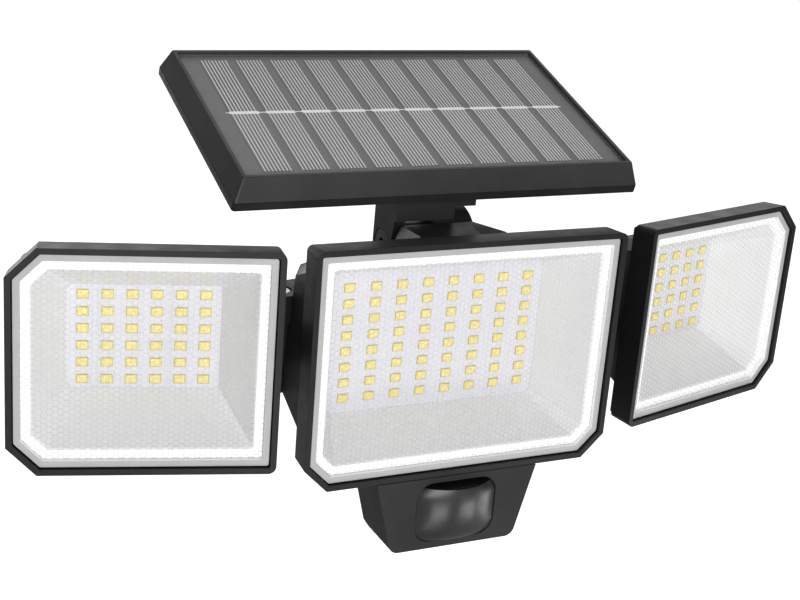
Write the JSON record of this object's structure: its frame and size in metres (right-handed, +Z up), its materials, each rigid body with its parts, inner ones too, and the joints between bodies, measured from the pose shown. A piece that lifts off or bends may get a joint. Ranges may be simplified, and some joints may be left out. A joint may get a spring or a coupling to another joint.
{
  "type": "motion sensor security light",
  "caption": "Solar wall light: a wide fixed lamp between swivelling side lamps, a motion sensor below, a tilting solar panel above and a wall bracket behind.",
  "frame": {"origin": "middle of the wall plate's back face, which lies on the wall", "axes": "+Z up, the wall is the plane Y = 0, the lamps look along -Y, +X is to the right of someone who looks at the lamps"},
  "size_m": [0.3888, 0.1712, 0.2011],
  "materials": {
    "black_plastic": "fine satin mould texture",
    "clear_cover": "clear polycarbonate with a honeycomb of small lenses",
    "white_plastic": "white reflector",
    "grey_rubber": "soft seal",
    "led_board": "white solder mask",
    "led": "yellow phosphor",
    "steel": "zinc plated",
    "black_steel": "black plated",
    "black_dome": "satin infrared-clear dome",
    "green_board": "solder mask",
    "chips": "moulded parts",
    "battery": "sleeved cell",
    "panel_glass": "flat tempered glass",
    "cells": "silicon cells",
    "backing": "dark grey sheet",
    "button": "soft button",
    "pir": "metal can"
  },
  "bodies": {
    "housing": {"rear_housing": "black_plastic", "centre_bezel": "black_plastic", "centre_lens": "clear_cover", "centre_gasket": "grey_rubber", "centre_reflector": "white_plastic", "centre_led_board": "led_board", "centre_leds": "led", "centre_screws": "steel", "sensor_case": "black_plastic", "sensor_dome": "black_dome", "sensor_board": "green_board", "pir_detector": "pir", "sensor_posts": "black_plastic", "sensor_screws": "steel", "wall_bracket": "black_plastic", "bracket_screws": "steel", "battery_cells": "battery", "battery_tray": "black_plastic", "control_board": "green_board", "control_parts": "chips", "mode_switch": "chips", "hinge_bolt": "black_steel", "hinge_nut": "steel", "left_yaw_bolt": "steel", "left_yaw_nut": "steel", "right_yaw_bolt": "steel", "right_yaw_nut": "steel"},
    "left_elbow": {"left_elbow": "black_plastic", "left_tilt_bolt": "steel"},
    "left_head": {"left_bezel": "black_plastic", "left_lens": "clear_cover", "left_gasket": "grey_rubber", "left_reflector": "white_plastic", "left_led_board": "led_board", "left_leds": "led", "left_shell": "black_plastic", "left_screws": "steel"},
    "right_elbow": {"right_elbow": "black_plastic", "right_tilt_bolt": "steel"},
    "right_head": {"right_bezel": "black_plastic", "right_lens": "clear_cover", "right_gasket": "grey_rubber", "right_reflector": "white_plastic", "right_led_board": "led_board", "right_leds": "led", "right_shell": "black_plastic", "right_screws": "steel"},
    "panel": {"panel_frame": "black_plastic", "panel_glass": "panel_glass", "solar_cells": "cells", "cell_backing": "backing", "panel_cover": "black_plastic", "panel_screws": "steel", "panel_bracket": "black_plastic", "foot_screws": "steel"},
    "mode_button": {"mode_button": "button"}
  },
  "joints": [
    {"name": "left_lamp_swivel", "type": "hinge", "parent": "housing", "child": "left_elbow", "pos_m": [-0.07, -0.1134, 0.048], "axis": [0, 0, 1], "range_deg": [-45, 8]},
    {"name": "right_lamp_swivel", "type": "hinge", "parent": "housing", "child": "right_elbow", "pos_m": [0.07, -0.1134, 0.048], "axis": [0, 0, 1], "range_deg": [-8, 45]},
    {"name": "left_lamp_tilt", "type": "hinge", "parent": "left_elbow", "child": "left_head", "pos_m": [-0.09954, -0.11061, 0.044], "axis": [0.9659, -0.2588, 0], "range_deg": [-5, 35]},
    {"name": "right_lamp_tilt", "type": "hinge", "parent": "right_elbow", "child": "right_head", "pos_m": [0.09954, -0.11061, 0.044], "axis": [0.9659, 0.2588, 0], "range_deg": [-5, 35]},
    {"name": "panel_tilt", "type": "hinge", "parent": "housing", "child": "panel", "pos_m": [0, -0.1085, 0.086], "axis": [1, 0, 0], "range_deg": [-18.5, 5]},
    {"name": "mode_button_press", "type": "slide", "parent": "housing", "child": "mode_button", "axis": [0, 0, 1], "range_m": [0, 0.0012], "stiffness_N_per_m": 2500}
  ]
}
